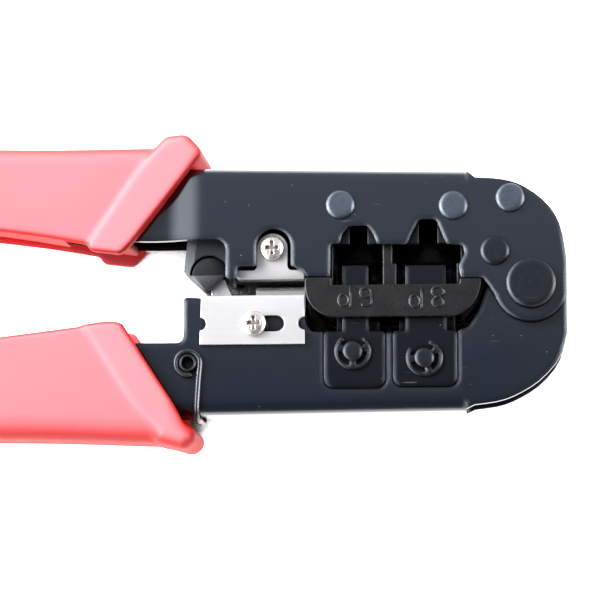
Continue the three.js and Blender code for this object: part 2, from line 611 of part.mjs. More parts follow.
// Body outline from the mouth back to the tail and round to the mouth again.
function upperGrip() {
  const body = rounded([
    [-66.5, 28.3], ...smooth([[-73, 28.3], [-101, 28.3], [-140, 29.6], [-172, 30.6]], 10),
    [TAIL, 30.8, 7], [TAIL, 15.9, 6],
    ...smooth([[-172, 16.0], [-150, 15.5], [-125, 13.5], [-101, 10.7], [-86, 8.2]], 12),
    [-80.5, 7.4],
  ]);
  const collar = rounded([
    [-73.2, 28.0], [-67.5, 30.6, 2.5], [-63.2, 27.4, 1.5], [-78.6, 8.7], [-80.9, 6.7, 1],
    [-89.2, 7.5], [-89.0, 9.0],
  ]);
  const cavity = [
    [STEEL_TAIL - GAP, upperSpine(STEEL_TAIL) + GAP], [-50, upperSpine(-50) + GAP], [-50, 9.0], [-84, 9.15],
    ...smooth([[-92, 10.5], [-106, 12.9], [-128, 15.3], [-155, 17.1], [STEEL_TAIL - GAP, 17.7]], 8),
  ];
  const tongue = [
    ...smooth([[-90, 9.4], [-106, 12.6], [-128, 15.1], [-155, 16.9], [STEEL_TAIL - 1, 17.2]], 6),
    ...smooth([[STEEL_TAIL - 1, 19.2], [-155, 18.6], [-128, 17.0], [-106, 14.4], [-90, 11.6]], 6),
  ];
  let grip = slab(body, -GRIP_OUT, GRIP_OUT).add(slab(collar, -COLLAR_OUT, COLLAR_OUT));
  const { to, step } = JOGGLE;
  const narrow = UPPER_OUT - step + GAP;
  grip = grip.subtract(slab(cavity, -narrow, narrow));
  const mouth = slab(cavity, -UPPER_OUT - GAP, UPPER_OUT + GAP).trimByPlane([1, 0, 0], to - GAP);
  grip = grip.subtract(mouth);
  const inside = UPPER_IN - step - 0.3;
  grip = grip.add(slab(tongue, -inside, inside));
  return grip.subtract(bar(-92.5, -60, 0, 14, -inside - 0.3, inside + 0.3));
}

function lowerGrip() {
  const body = rounded([
    [-80.6, -8.0], ...smooth([[-86, -7.6], [-101, -9.5], [-125, -12.3], [-150, -14.3], [-172, -15.0]], 12),
    [TAIL, -14.9, 6], [TAIL, -30.4, 7],
    ...smooth([[-172, -30.3], [-140, -29.7], [-101, -30.0], [-73, -30.9]], 10), [-67.6, -31.0],
  ]);
  const collar = rounded([
    [-89.0, -8.2], [-84.5, -7.0, 1.5], [-81.0, -7.0, 1], [-66.9, -28.0], [-64.4, -30.2, 1.5],
    [-67.5, -32.9, 2.5], [-73.0, -31.0],
  ]);
  const cavity = [
    ...smooth([[STEEL_TAIL - GAP, -16.7], [-155, -16.1], [-128, -14.3], [-106, -12.0], [-86, -10.8]], 8),
    [-50, -10.7], [-50, -26.7], [-70, -26.7], [-76, lowerSpine(-76) - GAP],
    [STEEL_TAIL - GAP, lowerSpine(STEEL_TAIL) - GAP],
  ];
  const mouth = rounded([[-50, 0], [-83, 0], [-83, -12.1], [-69.5, -27.2, 1.5], [-50, -27.2]]);
  let grip = slab(body, -GRIP_OUT, GRIP_OUT).add(slab(collar, -COLLAR_OUT, COLLAR_OUT));
  grip = grip.subtract(slab(cavity, -LOWER_OUT - GAP, LOWER_OUT + GAP));
  grip = grip.subtract(slab(mouth, -LOWER_OUT - 2.0, LOWER_OUT + 2.0));
  return grip.subtract(bar(-100, -60, -12.5, 0, -LOWER_IN + 0.6, LOWER_IN - 0.6));
}

// ---------- assembly ----------

put('upper_frame', upperFrame(), FINISHES.enamel);
put('lower_frame', lowerFrame(), FINISHES.enamel);
put('die_block', dieBlock(), FINISHES.die);
put('pivot_rivet', headedRivet(PIVOT, [0, 0], MID, 40), FINISHES.rivet);
put('pivot_bush', pivotBush(), FINISHES.nickel);
put('return_spring', returnSpring(), FINISHES.spring);
RIVETS.forEach((at, i) => {
  put(`die_rivet_${i + 1}`, headedRivet(RIVET, at, UPPER_OUT + RIVET.height, 24), FINISHES.rivet);
});
for (const [size, shape] of Object.entries(PUNCHES)) {
  put(`punch_${size}`, punch(shape), FINISHES.enamel);
  put(`punch_pin_${size}`, punchPin(shape), FINISHES.rivet);
  put(`ring_${size}_front`, retainingRing(shape, 1), FINISHES.rivet);
  put(`ring_${size}_back`, retainingRing(shape, -1), FINISHES.rivet);
}
put('blade_holder', bladeHolder(), FINISHES.cast);
put('stripping_blade_upper', tBlade(), FINISHES.blade);
put('stripping_blade_lower', slottedBlade(), FINISHES.blade);
put('cutting_blade_upper', upperCutter(), FINISHES.blade);
put('cutting_blade_lower', lowerCutter(), FINISHES.blade);
put('round_stripping_blade', roundStripper(), FINISHES.blade);
put('lower_blade_block', lowerBladeBlock(), FINISHES.cast);
const upperSeat = T_BLADE.z + BLADE + 0.05;
const lowerSeat = SLOT_BLADE.z + BLADE + 0.05;
put('screw_upper_blade', screw(T_BLADE.screw, upperSeat, SCREW_DEPTH.upper, 1), FINISHES.nickel);
put('screw_lower_blade', screw(SLOT_BLADE.screw, lowerSeat, SCREW_DEPTH.lower, 1), FINISHES.nickel);
put('screw_block_back', screw(SLOT_BLADE.screw, LOWER_OUT + 0.05, SCREW_DEPTH.lower, -1), FINISHES.nickel);
put('spring_stud', studPin(), FINISHES.rivet);
put('wire_clip', wireClip(), FINISHES.spring);
put('upper_grip', upperGrip(), FINISHES.grip);
put('lower_grip', lowerGrip(), FINISHES.grip);

const root = new THREE.Group();
root.add(tool);

export default root;
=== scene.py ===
import json
import math

import bpy
import numpy as np
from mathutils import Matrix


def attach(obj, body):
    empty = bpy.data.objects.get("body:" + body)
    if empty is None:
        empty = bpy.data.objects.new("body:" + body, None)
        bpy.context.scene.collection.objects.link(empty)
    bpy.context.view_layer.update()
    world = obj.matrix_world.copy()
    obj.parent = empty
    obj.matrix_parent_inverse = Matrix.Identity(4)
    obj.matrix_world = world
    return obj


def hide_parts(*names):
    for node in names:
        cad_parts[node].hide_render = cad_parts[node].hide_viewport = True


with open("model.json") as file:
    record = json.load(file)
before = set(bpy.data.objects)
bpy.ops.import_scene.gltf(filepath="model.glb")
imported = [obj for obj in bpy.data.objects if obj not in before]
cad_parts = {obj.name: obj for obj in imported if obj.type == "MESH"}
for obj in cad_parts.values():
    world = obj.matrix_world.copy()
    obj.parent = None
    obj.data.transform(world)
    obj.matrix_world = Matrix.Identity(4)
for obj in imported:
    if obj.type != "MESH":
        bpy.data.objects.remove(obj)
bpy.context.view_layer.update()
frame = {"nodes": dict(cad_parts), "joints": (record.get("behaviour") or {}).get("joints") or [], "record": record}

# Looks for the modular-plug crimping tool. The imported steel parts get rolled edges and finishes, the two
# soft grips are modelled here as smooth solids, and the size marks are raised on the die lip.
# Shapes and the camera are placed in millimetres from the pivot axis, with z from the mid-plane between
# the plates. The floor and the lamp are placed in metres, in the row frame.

import openvdb
from mathutils import Matrix, Vector

MM = 0.001
PIVOT = Vector(frame["joints"][0]["pos_m"])
UPPER, LOWER = "upper_handle", "lower_handle"


# ---------- node materials ----------

BEVEL_SAMPLES, RECESS_SAMPLES, FLOOR_SAMPLES = 6, 8, 16
# painted shade: the colour that holes and corners turn to
RECESS_SHADE_BLACK = (0.0015, 0.0015, 0.0018)
SCRATCH_TURNS = (0.35, 1.3, 2.45)  # directions of the hairlines, in radians
SCRATCH_STRETCH = (0.04, 1.0, 1.0)
GRIND_STRETCH = (0.03, 1.0, 1.0)


class Graph:
    """A node tree with helpers that add nodes and return their outputs."""

    def __init__(self, tree, shader):
        self.tree = tree
        self.shader = tree.nodes[shader]

    def add(self, kind, **settings):
        node = self.tree.nodes.new(kind)
        for key, value in settings.items():
            setattr(node, key, value)
        return node

    def link(self, source, target):
        self.tree.links.new(source, target)

    def set(self, socket, value):
        if isinstance(value, bpy.types.NodeSocket):
            self.link(value, self.shader.inputs[socket])
        else:
            self.shader.inputs[socket].default_value = value

    def math(self, operation, a, b=0.0, clamp=False):
        node = self.add("ShaderNodeMath", operation=operation, use_clamp=clamp)
        for socket, item in zip(node.inputs, (a, b)):
            if isinstance(item, bpy.types.NodeSocket):
                self.link(item, socket)
            else:
                socket.default_value = item
        return node.outputs[0]

    def spread(self, value, low, high, out_low=0.0, out_high=1.0):
        """Eases from out_low to out_high while the value goes from low to high."""
        node = self.add("ShaderNodeMapRange", interpolation_type="SMOOTHSTEP")
        self.link(value, node.inputs["Value"])
        limits = {"From Min": low, "From Max": high, "To Min": out_low, "To Max": out_high}
        for socket, number in limits.items():
            node.inputs[socket].default_value = number
        return node.outputs["Result"]

    def split(self, vector):
        node = self.add("ShaderNodeSeparateXYZ")
        self.link(vector, node.inputs[0])
        return node.outputs


class Paint(Graph):
    """One procedural material: a principled shader with helpers that add layers to it."""

    def __init__(self, name, colour, roughness, metallic=0.0, specular=0.5):
        self.material = bpy.data.materials.new(name)
        self.material.use_nodes = True
        super().__init__(self.material.node_tree, "Principled BSDF")
        self.colour = self.rgb(colour)
        self.roughness = self.value(roughness)
        self.normal = None
        self.set("Metallic", metallic)
        self.set("Specular IOR Level", specular)
        self.place = self.add("ShaderNodeTexCoord").outputs["Object"]

    def rgb(self, colour):
        node = self.add("ShaderNodeRGB")
        node.outputs[0].default_value = (*colour, 1.0)
        return node.outputs[0]

    def value(self, number):
        node = self.add("ShaderNodeValue")
        node.outputs[0].default_value = number
        return node.outputs[0]

    def stretched(self, scale, turn=0.0):
        """The place on the object, scaled and turned, to draw a texture out along one direction."""
        node = self.add("ShaderNodeMapping")
        node.inputs["Scale"].default_value = scale
        node.inputs["Rotation"].default_value = (0.0, 0.0, turn)
        self.link(self.place, node.inputs["Vector"])
        return node.outputs["Vector"]

    def noise(self, per_mm, detail=3.0, rough=0.55, where=None):
        """Cloudy noise between 0 and 1, with about that many clouds to a millimetre."""
        node = self.add("ShaderNodeTexNoise")
        self.link(where or self.place, node.inputs["Vector"])
        node.inputs["Scale"].default_value = per_mm / MM
        node.inputs["Detail"].default_value = detail
        node.inputs["Roughness"].default_value = rough
        return node.outputs["Fac"]

    def specks(self, per_mm, size):
        """Scattered dots, one to a cell; the size is a share of the cell."""
        node = self.add("ShaderNodeTexVoronoi")
        self.link(self.place, node.inputs["Vector"])
        node.inputs["Scale"].default_value = per_mm / MM
        return self.spread(node.outputs["Distance"], size * 0.5, size, 1.0, 0.0)

    def mix_colour(self, mask, other):
        node = self.add("ShaderNodeMix", data_type="RGBA", blend_type="MIX")
        self.link(mask, node.inputs["Factor"])
        self.link(self.colour, node.inputs["A"])
        node.inputs["B"].default_value = (*other, 1.0)
        self.colour = node.outputs["Result"]

    def vary_roughness(self, field, amount):
        shift = self.math("MULTIPLY", self.math("SUBTRACT", field, 0.5), amount)
        self.roughness = self.math("ADD", self.roughness, shift, clamp=True)

    def bump(self, height, depth_mm, strength=1.0):
        node = self.add("ShaderNodeBump")
        node.inputs["Strength"].default_value = strength
        node.inputs["Distance"].default_value = depth_mm * MM
        self.link(height, node.inputs["Height"])
        if self.normal is not None:
            self.link(self.normal, node.inputs["Normal"])
        self.normal = node.outputs["Normal"]

    def soft_edges(self, radius_mm):
        """Shades the edges as if they were rolled over that radius. It comes before any bump."""
        node = self.add("ShaderNodeBevel", samples=BEVEL_SAMPLES)
        node.inputs["Radius"].default_value = radius_mm * MM
        self.normal = node.outputs["Normal"]

    def recess(self, reach_mm, samples=RECESS_SAMPLES):
        """How open the space is within that reach: 1 in the open, towards 0 deep in a hole."""
        node = self.add("ShaderNodeAmbientOcclusion", samples=samples)
        node.inputs["Distance"].default_value = reach_mm * MM
        return node.outputs["AO"]

    def raised(self, heights):
        """0 up to the first height over the mid-plane, on either side, and 1 from the second one on."""
        height = self.math("ABSOLUTE", self.math("SUBTRACT", self.split(self.place)["Z"], PIVOT.z))
        return self.spread(height, heights[0] * MM, heights[1] * MM)

    def facing_up(self):
        """How squarely the surface faces along Z, either way: 1 on the tool's flat faces."""
        normal = self.add("ShaderNodeNewGeometry").outputs["Normal"]
        return self.math("ABSOLUTE", self.split(normal)["Z"])

    def paint_recess_shade(self, reach_mm, low, high, specular):
        """Painted shade in holes and corners: the colour turns black and the reflection fades where little light
        would come back out of them.
        """
        open_share = self.spread(self.recess(reach_mm), low, high)
        self.mix_colour(self.math("SUBTRACT", 1.0, open_share), RECESS_SHADE_BLACK)
        self.set("Specular IOR Level", self.math("MULTIPLY", open_share, specular))

    def done(self):
        self.set("Base Color", self.colour)
        self.set("Roughness", self.roughness)
        if self.normal is not None:
            self.set("Normal", self.normal)
        return self.material


def scratches(paint, amount):
    """Fine hairlines in three directions, returned as a mask."""
    total = None
    for turn in SCRATCH_TURNS:
        where = paint.stretched(SCRATCH_STRETCH, turn)
        line = paint.spread(paint.noise(2.2, 2.0, 0.5, where), 0.735, 0.76)
        patch = paint.spread(paint.noise(0.09, 2.0), 0.5, 0.62)
        mask = paint.math("MULTIPLY", line, patch)
        total = mask if total is None else paint.math("MAXIMUM", total, mask)
    return paint.math("MULTIPLY", total, amount)


def black_enamel(name="black_enamel", gloss=1.0):
    """Blue-black enamel under a clear coat. Less gloss is also less blue, as on the punches."""
    blue_black = (0.0034, 0.0040 + 0.0018 * gloss, 0.0045 + 0.0070 * gloss)
    cloud_black = (0.0048, 0.0046 + 0.0010 * gloss, 0.0055 + 0.0033 * gloss)
    p = Paint(name, blue_black, 0.16)
    p.soft_edges(1.5)
    p.mix_colour(p.spread(p.noise(0.05, 3.0), 0.35, 0.7, 0.0, 0.5), cloud_black)
    p.vary_roughness(p.noise(0.35, 4.0, 0.6), 0.10)
    p.mix_colour(scratches(p, 0.7), (0.09, 0.09, 0.095))
    dust = p.specks(0.42, 0.055)
    dusty = p.spread(p.noise(0.11, 2.0), 0.5, 0.6)
    p.mix_colour(p.math("MULTIPLY", dust, dusty), (0.16, 0.15, 0.15))
    p.bump(p.noise(0.12, 2.0, 0.5), 0.12, 0.25)
    p.bump(p.noise(0.8, 3.0, 0.5), 0.03, 0.20)
    p.bump(p.noise(9.0, 2.0, 0.5), 0.006, 0.35)
    # painted shade in holes and corners
    p.paint_recess_shade(7.0, 0.22, 0.72, 0.5 * gloss)
    # painted shade on the reflection: the clear coat fades out in recesses
    p.set("Coat Weight", p.spread(p.recess(4.0), 0.2, 0.6, 0.0, 0.9 * gloss))
    p.set("Coat Roughness", 0.06)
    return p.done()


def die_finish():
    """Satin black on sintered steel, a little warm, with fine pits."""
    p = Paint("die_finish", (0.0050, 0.0048, 0.0046), 0.30)
    p.soft_edges(0.4)
    p.mix_colour(p.spread(p.noise(0.25, 4.0), 0.4, 0.7), (0.0085, 0.0080, 0.0074))
    p.vary_roughness(p.noise(0.9, 4.0), 0.22)
    p.mix_colour(scratches(p, 0.5), (0.07, 0.066, 0.06))
    p.mix_colour(p.math("MULTIPLY", p.specks(0.6, 0.08), 0.6), (0.12, 0.11, 0.10))
    p.bump(p.noise(2.2, 4.0, 0.6), 0.03, 0.5)
    p.bump(p.noise(14.0, 2.0), 0.01, 0.5)
    # painted shade in holes and corners
    p.paint_recess_shade(7.0, 0.25, 0.75, 0.48)
    return p.done()


def cast_black():
    """The grainy skin of a die casting."""
    p = Paint("cast_black", (0.0055, 0.0056, 0.0065), 0.36)
    p.soft_edges(0.3)
    grain = p.noise(3.6, 3.0, 0.6)
    p.mix_colour(p.spread(grain, 0.50, 0.75), (0.012, 0.012, 0.0135))
    p.vary_roughness(p.noise(1.2, 3.0), 0.25)
    p.bump(grain, 0.10, 0.8)
    # painted shade in holes and corners
    p.paint_recess_shade(4.0, 0.2, 0.7, 0.5)
    return p.done()


def blackened_steel(name="blackened_steel", share=1.0):
    """Oxide-black rivets and pins: a smaller share of steel shows through the darker ones."""
    tint = [share * c for c in (0.050, 0.062, 0.080)]
    p = Paint(name, tint, 0.24, metallic=0.45 * share, specular=0.4 + 0.5 * share)
    p.soft_edges(1.1)
    p.mix_colour(p.spread(p.noise(0.6, 4.0), 0.4, 0.7), [1.35 * c for c in tint])
    p.vary_roughness(p.noise(1.8, 4.0), 0.22)
    p.mix_colour(scratches(p, 0.6), (0.12, 0.13, 0.14))
    p.bump(p.noise(2.4, 4.0, 0.6), 0.03, 0.45)
    return p.done()


def blade_steel():
    """Ground steel with its grind lines along X, and a few faint stains."""
    p = Paint("blade_steel", (0.77, 0.735, 0.705), 0.36, metallic=0.80)
    grind = p.noise(1.6, 4.0, 0.6, p.stretched(GRIND_STRETCH))
    p.mix_colour(p.spread(grind, 0.35, 0.7, 0.0, 0.35), (0.72, 0.685, 0.665))
    p.vary_roughness(grind, 0.18)
    stain = p.math("MULTIPLY", p.specks(0.5, 0.09), p.spread(p.noise(0.3, 2.0), 0.5, 0.65))
    p.mix_colour(stain, (0.45, 0.36, 0.28))
    p.bump(grind, 0.01, 0.35)
    return p.done()


def nickel():
    """Plated screws with brown rust starting in the cross recess."""
    p = Paint("nickel", (0.88, 0.80, 0.74), 0.26, metallic=0.9)
    crease = p.spread(p.recess(0.8), 0.45, 0.92, 1.0, 0.0)
    rust = p.math("MULTIPLY", crease, p.spread(p.noise(1.6, 3.0), 0.3, 0.6))
    p.mix_colour(rust, (0.22, 0.11, 0.05))
    p.vary_roughness(p.noise(1.4, 3.0), 0.18)
    p.bump(p.noise(1.1, 3.0), 0.05, 0.4)
    return p.done()


def spring_wire():
    p = Paint("spring_wire", (0.016, 0.017, 0.020), 0.24, metallic=0.2)
    p.vary_roughness(p.noise(2.0, 3.0), 0.15)
    p.mix_colour(p.math("MULTIPLY", p.specks(1.1, 0.07), 0.5), (0.12, 0.12, 0.12))
    p.bump(p.noise(5.0, 3.0), 0.012, 0.4)
    p.set("Coat Weight", 0.5)
    p.set("Coat Roughness", 0.08)
    return p.done()


PAINTED_CREASE_GLOW = 0.30                 # painted glow: red light given off in the folds, for light that comes through the soft plastic there
COLLAR_LIGHT_FROM = (10.25, 10.7)        # painted highlight: the raised collars turn paler between these heights
SHADED_SIDE_FACING = (0.55, 0.93)         # painted shade: the deep red of the sides fades while the surface turns to face Z
GRIP_PINK, GRIP_CLOUD = (0.83, 0.137, 0.154), (0.84, 0.120, 0.130)
# the collar pink is a painted highlight; the side and crease reds are painted shade
LIT_COLLAR_PINK, SHADED_SIDE_RED, SHADED_CREASE_RED = (0.85, 0.162, 0.178), (0.82, 0.040, 0.036), (0.86, 0.022, 0.012)


def soft_grip():
    """Moulded soft plastic: pink on the flats, with a painted highlight on the collars, painted shade in deep red
    on the sides and in the folds, and a painted glow in the folds.
    """
    p = Paint("soft_grip", GRIP_PINK, 0.50, specular=0.25)
    p.mix_colour(p.spread(p.noise(0.035, 3.0), 0.35, 0.7, 0.0, 0.35), GRIP_CLOUD)
    # painted highlight: paler on the raised collars
    p.mix_colour(p.raised(COLLAR_LIGHT_FROM), LIT_COLLAR_PINK)
    # painted shade: deep red on the sides that turn away from Z
    p.mix_colour(p.spread(p.facing_up(), *SHADED_SIDE_FACING, 1.0, 0.0), SHADED_SIDE_RED)
    # painted shade: deep red in the folds, and a painted red glow there too
    crease = p.spread(p.recess(3.0), 0.30, 0.92, 1.0, 0.0)
    p.mix_colour(crease, SHADED_CREASE_RED)
    p.set("Emission Color", (1.0, 0.02, 0.008, 1.0))
    p.set("Emission Strength", p.math("MULTIPLY", crease, PAINTED_CREASE_GLOW))
    p.vary_roughness(p.noise(0.5, 4.0), 0.14)
    p.mix_colour(p.math("MULTIPLY", p.specks(0.35, 0.03), 0.35), (0.70, 0.20, 0.20))
    p.bump(p.noise(0.30, 2.0), 0.05, 0.25)
    p.bump(p.noise(6.0, 3.0, 0.6), 0.012, 0.5)
    p.set("Subsurface Weight", 0.12)
    p.set("Subsurface Radius", (2.0, 0.35, 0.3))
    p.set("Subsurface Scale", MM)
    return p.done()


FINISHES = {
    "black_enamel": black_enamel(),
    "die_finish": die_finish(),
    "cast_black": cast_black(),
    "blackened_steel": blackened_steel(),
    "blade_steel": blade_steel(),
    "nickel": nickel(),
    "spring_wire": spring_wire(),
    "soft_grip": soft_grip(),
}
PUNCH_BLACK = black_enamel("punch_black", 0.3)
PUNCH_NODES = ("punch_6p", "punch_8p")
DULL_STEEL = blackened_steel("blackened_steel_dull", 0.12)
DULL_NODES = (
    "pivot_rivet", "die_rivet_4", "spring_stud", "punch_pin_6p", "punch_pin_8p",
    "ring_6p_front", "ring_6p_back", "ring_8p_front", "ring_8p_back")


# ---------- packed steel parts ----------

# Edge radius of each node in millimetres: punched sheet has rolled edges, blades stay crisp.
EDGE = {
    "upper_frame": 0.28, "lower_frame": 0.28, "die_block": 0.2, "pivot_rivet": 0.3,
    "punch_6p": 0.16, "punch_8p": 0.16, "blade_holder": 0.16, "lower_blade_block": 0.3,
    "stripping_blade_upper": 0.09, "stripping_blade_lower": 0.08, "cutting_blade_upper": 0.06,
    "cutting_blade_lower": 0.06, "round_stripping_blade": 0.10, "spring_stud": 0.2,
    "screw_upper_blade": 0.10, "screw_lower_blade": 0.10, "screw_block_back": 0.10,
}
EDGE_DEFAULT = 0.12
EDGE_SEGMENTS = 3
EDGE_ANGLE = math.radians(31)      # sharper corners than this get a rolled edge
FLAT_ANGLE = math.radians(0.7)     # triangles within this angle are one flat face
WELD_GAP = 0.002
ROLLED_NODES = (                   # plain pieces whose edges needn't be held to their shortest side
    "pivot_rivet", "die_rivet_1", "die_rivet_2", "die_rivet_3", "die_rivet_4", "punch_6p", "punch_8p",
    "screw_upper_blade", "screw_lower_blade")
ROUND_NODES = ("return_spring", "wire_clip")


def dress(node):
    """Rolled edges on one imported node, or rounder wire."""
    obj = frame["nodes"][node]
    for layer in ("custom_normal", "sharp_face", "sharp_edge"):
        if layer in obj.data.attributes:
            obj.data.attributes.remove(obj.data.attributes[layer])
    obj.data.shade_smooth()
    weld = obj.modifiers.new("weld", "WELD")
    weld.merge_threshold = WELD_GAP * MM
    if node not in ROUND_NODES:
        flat = obj.modifiers.new("flat_faces", "DECIMATE")
        flat.decimate_type = "DISSOLVE"
        flat.angle_limit = FLAT_ANGLE
        edge = obj.modifiers.new("rolled_edges", "BEVEL")
        edge.width = EDGE.get(node, EDGE_DEFAULT) * MM
        edge.segments = EDGE_SEGMENTS
        edge.limit_method = "ANGLE"
        edge.angle_limit = EDGE_ANGLE
        edge.miter_outer = "MITER_ARC"
        edge.use_clamp_overlap = node not in ROLLED_NODES
        obj.modifiers.new("face_normals", "WEIGHTED_NORMAL").keep_sharp = False
    else:
        obj.modifiers.new("smooth_wire", "SUBSURF").levels = 1


SLOTS = {part["node"]: part["material_slot"] for part in frame["record"]["subparts"]}


def finish_of(node):
    """The finish of a node's record slot, or the duller one that a few nodes have instead."""
    if node in PUNCH_NODES:
        return PUNCH_BLACK
    if node in DULL_NODES:
        return DULL_STEEL
    return FINISHES[SLOTS[node]]


for name, obj in frame["nodes"].items():
    if SLOTS[name] != "soft_grip":
        dress(name)
    obj.data.materials.clear()
    obj.data.materials.append(finish_of(name))


# ---------- outlines and distance fields ----------

ARC_STEP = 0.15                    # radians from point to point on a rounded corner
CURVE_STEPS = 6                    # points from knot to knot on a smooth curve
VOXEL_FAR = 5.0                    # distance that an unset voxel stands for


def rounded(corners):
    """A closed outline of (x, y) points and (x, y, radius) corners, each radius turned into an arc."""
    points = []
    for i, corner in enumerate(corners):
        here = Vector(corner[:2])
        if len(corner) < 3 or not corner[2]:
            points.append(tuple(here))
            continue
        a = (Vector(corners[i - 1][:2]) - here).normalized()
        b = (Vector(corners[(i + 1) % len(corners)][:2]) - here).normalized()
        half = a.angle(b) / 2
        centre = here + (a + b).normalized() * (corner[2] / math.sin(half))
        reach = corner[2] / math.tan(half)
        first, last = here + a * reach - centre, here + b * reach - centre
        start = math.atan2(first.y, first.x)
        turn = math.atan2(first.x * last.y - first.y * last.x, first.dot(last))
        count = max(3, int(abs(turn) / ARC_STEP))
        for k in range(count + 1):
            angle = start + turn * k / count
            points.append((centre.x + corner[2] * math.cos(angle),
                           centre.y + corner[2] * math.sin(angle)))
    return points


def smooth(points):
    """A Catmull-Rom curve through points, both ends included."""
    knots = [np.array(p, float) for p in points]
    knots = [2 * knots[0] - knots[1], *knots, 2 * knots[-1] - knots[-2]]
    curve = []
    for p0, p1, p2, p3 in zip(knots, knots[1:], knots[2:], knots[3:]):
        for k in range(CURVE_STEPS):
            t = k / CURVE_STEPS
            curve.append(tuple(0.5 * (
                2 * p1 + (p2 - p0) * t + (2 * p0 - 5 * p1 + 4 * p2 - p3) * t * t
                + (3 * p1 - p0 - 3 * p2 + p3) * t ** 3)))
    curve.append(tuple(knots[-2]))
    return curve


class Field:
    """A block of space round one soft part, and signed distances in it: negative inside."""

    def __init__(self, low, high, step):
        self.low, self.step = np.array(low, float), step
        axes = [np.arange(a, b + step, step) for a, b in zip(low, high)]
        self.x, self.y, self.z = np.meshgrid(*axes, indexing="ij", sparse=True)

    def outline(self, points):
        """Distance to a closed outline in the plane of the tool."""
        x, y = np.broadcast_arrays(self.x, self.y)
        near = np.full(x.shape, 1e9)
        inside = np.zeros(x.shape, bool)
        for (ax, ay), (bx, by) in zip(points, [*points[1:], points[0]]):
            ex, ey = bx - ax, by - ay
            t = np.clip(((x - ax) * ex + (y - ay) * ey) / max(ex * ex + ey * ey, 1e-12), 0, 1)
            near = np.minimum(near, (x - ax - t * ex) ** 2 + (y - ay - t * ey) ** 2)
            if ay != by:
                inside ^= ((ay <= y) != (by <= y)) & (x < ex * (y - ay) / ey + ax)
        return np.where(inside, -1.0, 1.0) * np.sqrt(near)

    def slab(self, flat, half, radius=0.0):
        """The outline given thickness to both sides of the mid-plane, with rounded rims."""
        across = flat + radius
        up = np.abs(self.z) - half + radius
        outside = np.hypot(np.maximum(across, 0), np.maximum(up, 0))
        return np.minimum(np.maximum(across, up), 0) + outside - radius

    def mesh(self, name, distance):
        """The zero surface of a distance field as a smooth mesh in the row frame."""
        grid = openvdb.FloatGrid(VOXEL_FAR)
        grid.copyFromArray(np.ascontiguousarray(distance, np.float32))
        points, quads = grid.convertToQuads(0.0)
        points = (points * self.step + self.low) * MM + np.array(PIVOT)
        mesh = bpy.data.meshes.new(name)
        mesh.from_pydata(points.tolist(), [], quads.tolist())
        mesh.validate()
        mesh.shade_smooth()
        return mesh


def join(a, b, radius):
    """Both shapes, with a fillet of about that radius where they meet."""
    h = np.maximum(radius - np.abs(a - b), 0) / radius
    return np.minimum(a, b) - h * h * radius / 4


def cut(a, b, radius):
    """a without b, with the rim of the cut eased."""
    return -join(-a, b, radius)


def ramp(value, start, end):
    """Eases from 0 to 1 while the value goes from start to end."""
    t = np.clip((value - start) / (end - start), 0, 1)
    return t * t * (3 - 2 * t)


def show(mesh, body, slot_name, *stands_for):
    """Puts a mesh in the scene on one body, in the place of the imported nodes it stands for."""
    obj = bpy.data.objects.new(mesh.name, mesh)
    bpy.context.scene.collection.objects.link(obj)
    mesh.materials.append(FINISHES[slot_name])
    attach(obj, body)
    if stands_for:
        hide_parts(*stands_for)


# ---------- soft grips ----------

GRIP_STEP = 0.40                   # grid spacing of the grips' distance fields
UPPER_SPACE = (-189.5, 3.5, -12.0), (-60.0, 33.0, 12.0)
LOWER_SPACE = (-189.5, -35.0, -12.0), (-60.0, -5.0, 12.0)
GRIP_OUT = 10.3                    # half width of the grip body
COLLAR_OUT = 10.94                 # half width of the raised collar
COLLAR_FILLET = 1.1
CROWN, CROWN_HALF = 0.35, 11.0     # the faces fall by the first over the second, towards their rims
UPPER_MIDDLE, LOWER_MIDDLE = 19.0, 20.0    # how far from the tool's axis they stand out most
INNER_ROUND = 1.3                  # how round the rims are on the side of the other handle
UPPER_ROUND, LOWER_ROUND = 3.6, 5.0    # and on the outer side
TAIL, STEEL_TAIL = -187.9, -182.0  # ends of the grips and of the channels in them
HEAD = -50.0                       # forward of both grips, where the cuts for the channels start
PLAY = 0.1                         # between a spine and its grip
UPPER_CAVITY, LOWER_CAVITY = 9.15, 7.15
JOGGLE_FROM, JOGGLE_LENGTH, JOGGLE_STEP = -63.5, 10.0, 1.5     # where the upper channel narrows
WEB_UPPER = 5.3                    # half width of the web that closes the upper channel
WINDOW_UPPER, WINDOW_LOWER = WEB_UPPER + 1.2, 4.6              # half widths of the slots in the webs
MOUTH_LOWER = LOWER_CAVITY + 1.8   # the lower grip is wider inside its collar


def upper_spine(x):
    return 22.44 - 0.0222 * x


def lower_spine(x):
    return -24.55 + 0.0115 * x


def sleeve(f, out, body, collar, middle, rim, collar_rim):
    """A grip's body and raised collar, still solid; out grows from the tool's axis to the outer side."""
    crown = CROWN * ((out - middle) / CROWN_HALF) ** 2
    solid = f.slab(f.outline(body), GRIP_OUT - crown, rim)
    return join(solid, f.slab(f.outline(collar), COLLAR_OUT, collar_rim), COLLAR_FILLET)


